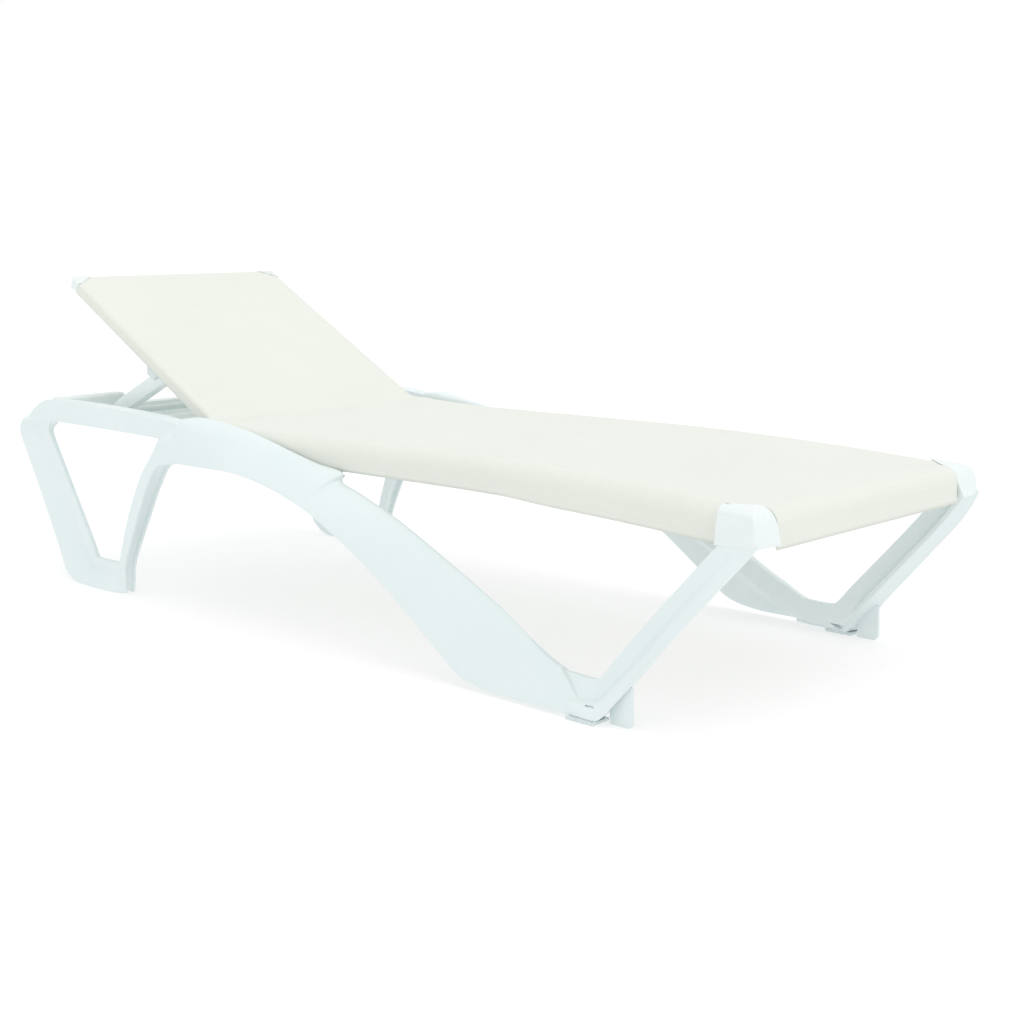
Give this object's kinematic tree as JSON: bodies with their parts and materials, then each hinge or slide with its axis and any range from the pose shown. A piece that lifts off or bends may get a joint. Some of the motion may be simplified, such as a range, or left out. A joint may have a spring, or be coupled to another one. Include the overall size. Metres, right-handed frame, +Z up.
{
  "type": "reclining sun lounger",
  "caption": "Low stackable sun lounger with sweeping moulded side frames, a sling seat and a hinged sling backrest held up by a ratcheting prop.",
  "frame": {"origin": "on the ground, under the middle of the lounger's length and width", "axes": "+X towards the foot end, +Y to the left of a person lying on their back on it, +Z up"},
  "size_m": [1.89, 0.7146, 0.6232],
  "materials": {
    "white_resin": "satin moulded resin",
    "white_cap_resin": "smooth moulded resin",
    "rail_resin": "satin",
    "sling_fabric": "open plain weave of coated yarn, matt",
    "grey_rubber": "matt",
    "pin_steel": "brushed stainless"
  },
  "bodies": {
    "frame": {"head_frame_left": "white_resin", "side_arm_left": "white_resin", "front_leg_left": "white_resin", "front_foot_pad_left": "grey_rubber", "seat_rail_left": "rail_resin", "seat_bolt_left_1": "pin_steel", "seat_bolt_left_2": "pin_steel", "hinge_pin_left": "pin_steel", "corner_cap_left": "white_cap_resin", "head_frame_right": "white_resin", "side_arm_right": "white_resin", "front_leg_right": "white_resin", "front_foot_pad_right": "grey_rubber", "seat_rail_right": "rail_resin", "seat_bolt_right_1": "pin_steel", "seat_bolt_right_2": "pin_steel", "hinge_pin_right": "pin_steel", "corner_cap_right": "white_cap_resin", "head_crossbar": "white_resin", "ratchet_deck": "white_resin", "seat_rear_rail": "rail_resin", "seat_middle_rail": "rail_resin", "seat_front_rail": "rail_resin", "seat_sling": "sling_fabric"},
    "backrest": {"backrest_rail_left": "rail_resin", "backrest_cap_left": "white_cap_resin", "prop_bracket_left": "white_resin", "prop_pin_left": "pin_steel", "backrest_rail_right": "rail_resin", "backrest_cap_right": "white_cap_resin", "prop_bracket_right": "white_resin", "prop_pin_right": "pin_steel", "backrest_lower_rail": "rail_resin", "backrest_top_rail": "rail_resin", "backrest_sling": "sling_fabric"},
    "prop": {"prop_arm_left": "white_resin", "prop_arm_right": "white_resin", "prop_foot_bar": "white_resin"}
  },
  "joints": [
    {"name": "backrest_hinge", "type": "hinge", "parent": "frame", "child": "backrest", "pos_m": [-0.36, 0, 0.343], "axis": [0, 1, 0], "range_deg": [-23.5, 35]},
    {"name": "prop_fold", "type": "hinge", "parent": "backrest", "child": "prop", "pos_m": [-0.53543, 0, 0.43904], "axis": [0, 1, 0], "range_deg": [-61, 41]}
  ],
  "couplings": [
    {"joint": "prop_fold", "follows": "backrest_hinge", "ratio": -1.74}
  ]
}
